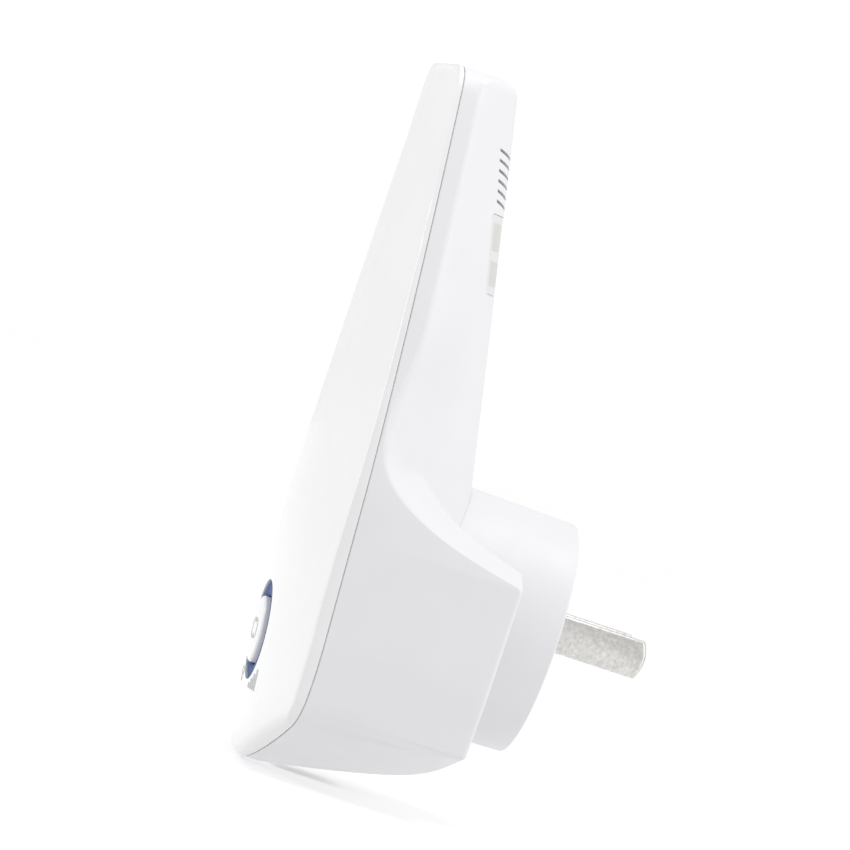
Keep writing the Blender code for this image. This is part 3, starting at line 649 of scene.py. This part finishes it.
def shouldered(spot, inset):
    """Slide points near the sides down, so that rows of points run along the swept shoulder."""
    x, z = spot.T
    near = np.exp(-(((z - SHOULDER_MIDDLE_Z) / SHOULDER_MIDDLE_Z) ** 4))
    low = z
    for _ in range(4):
        low = z - near * facet_drop(x, low, inset)
    return np.column_stack((x + np.sign(x) * (half_width(low) - half_width(z)), low))


def rear_edge(loop, fractions, inset):
    """Rows of points from the rear cover's outline in to where its shaped edge ends."""
    reach = edge_reach(loop)[:, None] * inward(loop)
    return [shouldered(loop + reach * part, inset) for part in fractions]


def dome_rings(edge, surface, fan_steps):
    """Rings from the wall in to the middle line, each as rows of (x, y, z)."""
    places = edge + [towards_spine(edge[-1], part) for part in fan_steps]
    return [np.column_stack((p[:, 0], surface(p[:, 0], p[:, 1]), p[:, 1])) for p in places]


def shell(name, finish, outer, inner, node):
    bm = bmesh.new()
    loft(bm, outer[::-1] + inner)
    bmesh.ops.remove_doubles(bm, verts=bm.verts, dist=0.0005)
    bmesh.ops.triangulate(bm, faces=bm.faces)
    return make(name, bm, finish, replaced=(node,), sharp=30.0)


# ---------------------------------------------------------------- covers

EDGE_STEPS = (0.0, 0.04, 0.1, 0.2, 0.35, 0.55, 0.8, 1.1, 1.5, 2.0, 2.5)
REAR_FRACTIONS = (0.0, 0.006, 0.018, 0.036, 0.06, 0.09, 0.125, 0.16, 0.22, 0.3, 0.38, 0.46, 0.54, 0.62, 0.7,
                  0.78, 0.86, 0.93, 0.98, 1.02, 1.06)


def side_heights():
    """Heights of the side points, closest where the shoulder crosses the side."""
    return np.concatenate((
        np.linspace(CHIN_CORNER_Z, 1, 22),
        np.linspace(1.6, 32, 76),
        np.linspace(33.2, TOP_CORNER_Z, 38),
    ))


def front_cover():
    loop = outline(26, np.linspace(CHIN_CORNER_Z, TOP_CORNER_Z, 70), 12, 12)
    fan = np.linspace(0, 1, 33)[1:]

    def rim(z):
        return seam(z) - SEAM_GAP / 2

    def inside(x, z):
        return np.minimum(front_surface(x, z) + FRONT_WALL, rim(z) - FRONT_LIP)

    edge = [loop + inward(loop) * step for step in EDGE_STEPS]
    outer = rim_rings(loop, rim, -SEAM_CHAMFER) + dome_rings(edge, front_surface, fan)
    land = towards_spine(loop, FRONT_LAND)
    inner = [np.column_stack((land[:, 0], rim(land[:, 1]), land[:, 1]))]
    inner += dome_rings([land], inside, np.linspace(0, 1, 9)[1:])
    cover = shell("front_cover_shell", "cover_gloss", outer, inner, "front_cover")
    radius = RING_RADIUS + RING_HOLE_GAP
    hole = turned_mesh((0, RING_LOW[1] - 4, RING_MIDDLE_Z), [(radius, 0), (radius, 12)], 96)
    carve(cover, [cutter("ring_hole", hole)])


def vent_cutter():
    """All the slots, with round ends: mirrored rows that slope down to the middle."""
    bm = bmesh.new()
    reach = VENT_X[1] - VENT_X[0] - VENT_HEIGHT
    radius = VENT_HEIGHT / 2
    for row in range(VENT_ROWS):
        for side in (-1, 1):
            slant = Matrix.Rotation(math.radians(-side * VENT_SLANT), 4, "Y")
            spot = Matrix.Translation((side * sum(VENT_X) / 2, 0, VENT_FIRST_Z - row * VENT_PITCH))
            half = [(reach / 2 + radius * math.cos(a), radius * math.sin(a))
                    for a in np.linspace(-math.pi / 2, math.pi / 2, 9)]
            ring = half + [(-x, -z) for x, z in half]
            rows = [[(spot @ slant @ Vector((x, y, z, 1))).to_3d() for x, z in ring] for y in (-35, -20)]
            for end in loft(bm, rows):
                bm.faces.new(end)
    return cutter("vent_slots", bm)


def skin_patch(half_x, low_z, high_z, corner_radius, sink, lift, surface, columns=48, rows=24):
    """A thin slab with round corners that follows a surface, between two depths."""
    bm = bmesh.new()
    sheets = []
    middle_z = (low_z + high_z) / 2
    half_z = (high_z - low_z) / 2
    across = np.linspace(-1, 1, columns)
    for level in (-sink, lift):
        grid = []
        for v in np.linspace(-1, 1, rows):
            z = middle_z + v * half_z
            cut = np.clip(abs(v) * half_z - (half_z - corner_radius), 0, None)
            shorter = corner_radius - math.sqrt(max(corner_radius**2 - cut**2, 0.0))
            x = across * (half_x - shorter)
            y = surface(x, np.full_like(x, z)) + level
            grid.append([bm.verts.new((x[c], y[c], z)) for c in range(columns)])
        sheets.append(grid)
        for r in range(rows - 1):
            for c in range(columns - 1):
                bm.faces.new((grid[r][c], grid[r][c + 1], grid[r + 1][c + 1], grid[r + 1][c]))
    edge = [(0, c) for c in range(columns - 1)] + [(r, columns - 1) for r in range(rows - 1)]
    edge += [(rows - 1, c) for c in range(columns - 1, 0, -1)] + [(r, 0) for r in range(rows - 1, 0, -1)]
    low, high = sheets
    for a, b in zip(edge, edge[1:] + edge[:1]):
        bm.faces.new((low[a[0]][a[1]], low[b[0]][b[1]], high[b[0]][b[1]], high[a[0]][a[1]]))
    return bm


def housing_profile(clearance):
    """Outer radius of the plug housing at heights along Y, from the mating face inwards."""
    face = (HOUSING_HIGH[2] - HOUSING_LOW[2]) / 2 - HOUSING_FLARE
    wide = face + HOUSING_FLARE + clearance
    return [(face + clearance, 0.0), (wide, HOUSING_FLARE_Y), (wide, HOUSING_LOW[1])]


def port_cutter():
    """The opening round the mouth of the network jack, with rounded corners."""
    bm = bmesh.new()
    centre = (middle(JACK_LOW, JACK_HIGH, 0), middle(JACK_LOW, JACK_HIGH, 1), CHIN_Z + 3)
    box_mesh(bm, Matrix.Translation(centre), PORT_SIZE)
    upright = [e for e in bm.edges if abs((e.verts[0].co - e.verts[1].co).z) > PORT_SIZE[2] / 2]
    bmesh.ops.bevel(bm, geom=upright, offset=PORT_CORNER, segments=4, profile=0.5, affect="EDGES")
    return cutter("port_opening", bm)


def pinhole_cutter():
    at = (middle(RESET_LOW, RESET_HIGH, 0), middle(RESET_LOW, RESET_HIGH, 1), CHIN_Z - 2)
    return cutter("reset_hole", turned_mesh(at, [(PINHOLE_RADIUS, 0), (PINHOLE_RADIUS, 9)], 32, "Z"))


def recess_cutter():
    return cutter("label_recess", skin_patch(
        LABEL_HIGH[0] + RECESS_GAP, LABEL_LOW[2] - RECESS_GAP, LABEL_HIGH[2] + RECESS_GAP,
        LABEL_CORNER + RECESS_GAP, 0.25, 2.0, back_surface))


def rear_cover():
    loop = outline(26, side_heights(), 12, 12)
    fan = np.linspace(0, 1, 57)[1:]

    def rim(z):
        return seam(z) + SEAM_GAP / 2

    def inside(x, z):
        return back_surface(x, z, WALL)

    edge = rear_edge(loop, REAR_FRACTIONS, 0.0)
    outer = rim_rings(edge[0], rim, SEAM_CHAMFER) + dome_rings(edge, back_surface, fan)
    groove = edge[0] + inward(edge[0]) * SEAM_LIP
    wall = loop + inward(loop) * WALL
    inner_edge = rear_edge(wall, (0.0, 0.1, 0.25, 0.45), WALL)
    inner = [np.column_stack((groove[:, 0], rim(groove[:, 1]), groove[:, 1]))]
    for ledge in (groove, inner_edge[0]):
        inner.append(np.column_stack((ledge[:, 0], rim(ledge[:, 1]) - SEAM_GAP + 0.02, ledge[:, 1])))
    inner += dome_rings(inner_edge, inside, np.linspace(0, 1, 13)[1:])
    cover = shell("rear_cover_shell", "cover_satin", outer, inner, "rear_cover")
    opening = turned_mesh((0, 0, HOUSING_MIDDLE_Z), housing_profile(HOUSING_GAP), 128)
    carve(cover, [cutter("plug_opening", opening), vent_cutter(), port_cutter(), pinhole_cutter(),
                  recess_cutter()])


def rating_label():
    bm = skin_patch(LABEL_HIGH[0], LABEL_LOW[2], LABEL_HIGH[2], LABEL_CORNER, 0.2, -0.08, back_surface)
    make("rating_label_sheet", bm, "label_grey", replaced=("rating_label",), sharp=40.0)


# ---------------------------------------------------------------- plug


def plug_housing():
    outer = housing_profile(0.0)
    face = outer[0][0]
    inner = face - HOUSING_WALL
    points = [(0.0, 0.0), (face, 0.0), *outer[1:], (inner, HOUSING_LOW[1]), (inner, -HOUSING_WALL),
              (0.0, -HOUSING_WALL)]
    profile = rounded(points, HOUSING_FILLETS, 8)
    cup = make("plug_housing_cup", turned_mesh((0, 0, HOUSING_MIDDLE_Z), profile, 128), "cover_satin",
               replaced=("plug_housing",))
    slots = bmesh.new()
    size = (PIN_HIGH[0] - PIN_LOW[0] + PIN_SLOT_GAP, 8.0, PIN_HIGH[2] - PIN_LOW[2] + PIN_SLOT_GAP)
    for side in (-1, 1):
        box_mesh(slots, Matrix.Translation((side * PIN_X, 0, 0)), size)
    carve(cup, [cutter("pin_slots", slots)])


def pin(side, tag):
    """A flat blade: its outline is lofted through its thickness, with bevelled edges and tip."""
    half_x = (PIN_HIGH[0] - PIN_LOW[0]) / 2
    half_z = (PIN_HIGH[2] - PIN_LOW[2]) / 2
    centre_x = side * PIN_X
    bm = bmesh.new()

    def ring(x, inset):
        half = half_z - inset
        arc = [(PIN_HIGH[1] - inset - PIN_TIP_ROUND * (s / 10) ** 2, half * s / 10) for s in range(-10, 11)]
        return [(centre_x + x, y, z) for y, z in [(PIN_LOW[1], -half), *arc, (PIN_LOW[1], half)]]

    levels = [(-half_x, PIN_BEVEL), (-half_x + 0.06, PIN_BEVEL - 0.12),
              (-half_x + PIN_BEVEL - 0.06, 0.04), (-half_x + PIN_BEVEL + 0.04, 0.0)]
    levels += [(-x, inset) for x, inset in reversed(levels)]
    rings = loft(bm, [ring(x, inset) for x, inset in levels])
    for end in (rings[0], rings[-1]):
        bm.faces.new(end)
    make(f"pin_blade_{tag}", bm, "pin_nickel", replaced=(f"pin_{tag}",), sharp=25.0)


# ---------------------------------------------------------------- button, ring and icons


def lean(bm, back_y, middle_z):
    """Lean the front face of a turned piece along with the dome of the front cover."""
    for vertex in bm.verts:
        if vertex.co.y < back_y - FRONT_WALL:
            vertex.co.y -= DOME_LEAN * (vertex.co.z - middle_z)


def light_ring():
    crest = RING_FACE_Y - RING_HIGH[1]
    points = [(RING_BORE, 0.0), (RING_BORE, crest + 0.35), (RING_BORE + 0.5, crest + 0.12),
              (RING_RADIUS - 0.5, crest + 0.02), (RING_RADIUS, crest + 0.2), (RING_RADIUS, 0.0),
              (RING_BORE, 0.0)]
    profile = rounded(points, [0, 0.15, 0.4, 0.4, 0.15, 0, 0], 5)
    bm = turned_mesh((0, RING_HIGH[1], RING_MIDDLE_Z), profile, 128)
    lean(bm, RING_HIGH[1], RING_MIDDLE_Z)
    make("light_ring_lens", bm, "ring_blue", replaced=("light_ring",))


def pairing_button():
    flange = (BUTTON_HIGH[0] - BUTTON_LOW[0]) / 2
    crown = BUTTON_FACE_Y - BUTTON_HIGH[1]
    dome = [(r, crown + CAP_CROWN * (r / CAP_RADIUS) ** 2)
            for r in np.linspace(0, CAP_RADIUS - CAP_FILLET, 12)]
    points = [*dome, (CAP_RADIUS, crown + 0.5), (CAP_RADIUS, -FLANGE_THICK), (flange, -FLANGE_THICK),
              (flange, 0.0), (0.0, 0.0)]
    fillets = [0] * (len(dome) - 1) + [CAP_FILLET, 0.3, 0.1, 0.1, 0.1, 0]
    bm = turned_mesh((0, BUTTON_HIGH[1], BUTTON_MIDDLE_Z), rounded(points, fillets, 5), 96)
    lean(bm, BUTTON_HIGH[1], BUTTON_MIDDLE_Z)
    make("pairing_button_cap", bm, "button_white", "pairing_button", ("pairing_button",))


def button_face(x, z):
    up = z - BUTTON_MIDDLE_Z
    return BUTTON_FACE_Y + CAP_CROWN * (x * x + up**2) / CAP_RADIUS**2 - DOME_LEAN * up


def icon(name, loops, surface, body):
    """Flat printed shapes: each loop of (x, z) points becomes a thin slab on a surface."""
    bm = bmesh.new()
    for loop in loops:
        points = np.array(loop)
        y = surface(points[:, 0], points[:, 1])
        rows = [[(x, depth + level, z) for (x, z), depth in zip(loop, y)]
                for level in (ICON_SINK, -ICON_LIFT)]
        for end in loft(bm, rows):
            bm.faces.new(end)
    make(name, bm, "icon_grey", body, sharp=20.0)


def arc_band(centre, radius, width, start, end, count=14):
    """A curved stroke as a closed loop of points; angles in degrees from +X towards +Z."""
    angles = np.radians(np.linspace(start, end, count))

    def arc(reach, steps):
        return [(centre[0] + reach * math.cos(a), centre[1] + reach * math.sin(a)) for a in steps]

    return arc(radius + width / 2, angles) + arc(radius - width / 2, angles[::-1])


def icons():
    loops = [
        arc_band((LOOP_X, BUTTON_MIDDLE_Z), LOOP_RADIUS, LOOP_STROKE, -140, 140),
        arc_band((-LOOP_X, BUTTON_MIDDLE_Z), LOOP_RADIUS, LOOP_STROKE, 40, 320),
    ]
    icon("pairing_icon", loops, button_face, "pairing_button")
    bars = []
    for step in range(BAR_COUNT):
        left = BAR_FIRST_X + step * BAR_PITCH
        right = left + BAR_WIDTH
        high = BAR_LOW_Z + BAR_STEP * (step + 1)
        bars.append([(left, BAR_LOW_Z), (right, BAR_LOW_Z), (right, high), (left, high)])
    icon("signal_icon", bars, front_surface, CASE)
    waves = [arc_band((WAVES_X, WAVES_LOW_Z), radius, WAVE_STROKE, 45, 135) for radius in WAVE_RADII]
    icon("wireless_icon", waves, front_surface, CASE)


# ---------------------------------------------------------------- carried-over nodes


def dress_nodes():
    """Every CAD node that stays gets its slot's finished material."""
    for part in frame["record"]["subparts"]:
        node = frame["nodes"][part["node"]]
        node.data.materials.clear()
        node.data.materials.append(MATERIALS[part["material_slot"]])


# ---------------------------------------------------------------- stage, light and camera

TARGET = Vector((0.0, -28.0, 24.6)) * MM
AZIMUTH = 81.0
ELEVATION = 0.5
ROLL = 18.5
LENS = 300.0
DISTANCE = 1.122
SENSOR_WIDTH = 36.0
ROOM_LIGHT = 0.87
BACKDROP_LIGHT = 1.05
SOFTBOXES = {
    "front_softbox": ((-0.15, -0.9, 0.30), (0.4, 0.9), 2.3),
    "top_softbox": ((0.10, 0.10, 0.9), (0.5, 0.5), 2.0),
    "rear_softbox": ((0.30, 0.9, 0.35), (0.4, 0.9), 2.2),
}
FLOOR_DROP = 0.0002


def stage():
    """A pale floor, which throws no light back up at the underside."""
    bm = bmesh.new()
    bmesh.ops.create_grid(bm, x_segments=1, y_segments=1, size=4.0)
    mesh = bpy.data.meshes.new("floor")
    bm.to_mesh(mesh)
    bm.free()
    floor = bpy.data.objects.new("floor", mesh)
    floor.location = (0, 0, CAD_BOUNDS[0][2] - FLOOR_DROP)
    SCENE.collection.objects.link(floor)
    nodes = Nodes("floor_white")
    cloud = nodes.noise(3.0)
    nodes.finish(nodes.blend(cloud, (0.93, 0.93, 0.93), (0.95, 0.95, 0.95)), nodes.spread(cloud, 0.22, 0.28),
                 Emission_Color=(1.0, 1.0, 1.0, 1.0), Emission_Strength=0.15)
    mesh.materials.append(nodes.material)
    floor.visible_diffuse = False


def camera():
    azimuth = math.radians(AZIMUTH)
    elevation = math.radians(ELEVATION)
    away = Vector((math.sin(azimuth) * math.cos(elevation), -math.cos(azimuth) * math.cos(elevation),
                   math.sin(elevation)))
    right = Vector((0, 0, 1)).cross(away).normalized()
    level_up = away.cross(right)
    roll = math.radians(ROLL)
    up = level_up * math.cos(roll) - right * math.sin(roll)
    side = up.cross(away)
    lens = bpy.data.cameras.new("camera")
    lens.lens = LENS
    lens.sensor_width = SENSOR_WIDTH
    item = bpy.data.objects.new("camera", lens)
    place = TARGET + away * DISTANCE
    item.matrix_world = Matrix((
        (side.x, up.x, away.x, place.x),
        (side.y, up.y, away.y, place.y),
        (side.z, up.z, away.z, place.z),
        (0, 0, 0, 1),
    ))
    SCENE.collection.objects.link(item)
    SCENE.camera = item


def area_light(name, place, size, watts):
    light = bpy.data.lights.new(name, "AREA")
    light.shape = "RECTANGLE"
    light.size, light.size_y = size
    light.energy = watts
    item = bpy.data.objects.new(name, light)
    item.location = place
    item.rotation_euler = (TARGET - Vector(place)).to_track_quat("-Z", "Y").to_euler()
    SCENE.collection.objects.link(item)


def lighting():
    """White behind the object, and a slightly dimmer white room that lights it."""
    world = bpy.data.worlds.new("studio")
    world.use_nodes = True
    tree = world.node_tree
    room = tree.nodes["Background"]
    room.inputs["Color"].default_value = (1, 1, 1, 1)
    room.inputs["Strength"].default_value = ROOM_LIGHT
    backdrop = tree.nodes.new("ShaderNodeBackground")
    backdrop.inputs["Color"].default_value = (1, 1, 1, 1)
    backdrop.inputs["Strength"].default_value = BACKDROP_LIGHT
    seen = tree.nodes.new("ShaderNodeLightPath").outputs["Is Camera Ray"]
    mix = tree.nodes.new("ShaderNodeMixShader")
    tree.links.new(seen, mix.inputs["Fac"])
    tree.links.new(room.outputs["Background"], mix.inputs[1])
    tree.links.new(backdrop.outputs["Background"], mix.inputs[2])
    tree.links.new(mix.outputs["Shader"], tree.nodes["World Output"].inputs["Surface"])
    SCENE.world = world
    SCENE.view_settings.view_transform = "Standard"
    for name, (place, size, watts) in SOFTBOXES.items():
        area_light(name, place, size, watts)


def build():
    dress_nodes()
    front_cover()
    rear_cover()
    rating_label()
    plug_housing()
    pin(-1, "left")
    pin(1, "right")
    light_ring()
    pairing_button()
    icons()
    stage()
    camera()
    lighting()


build()
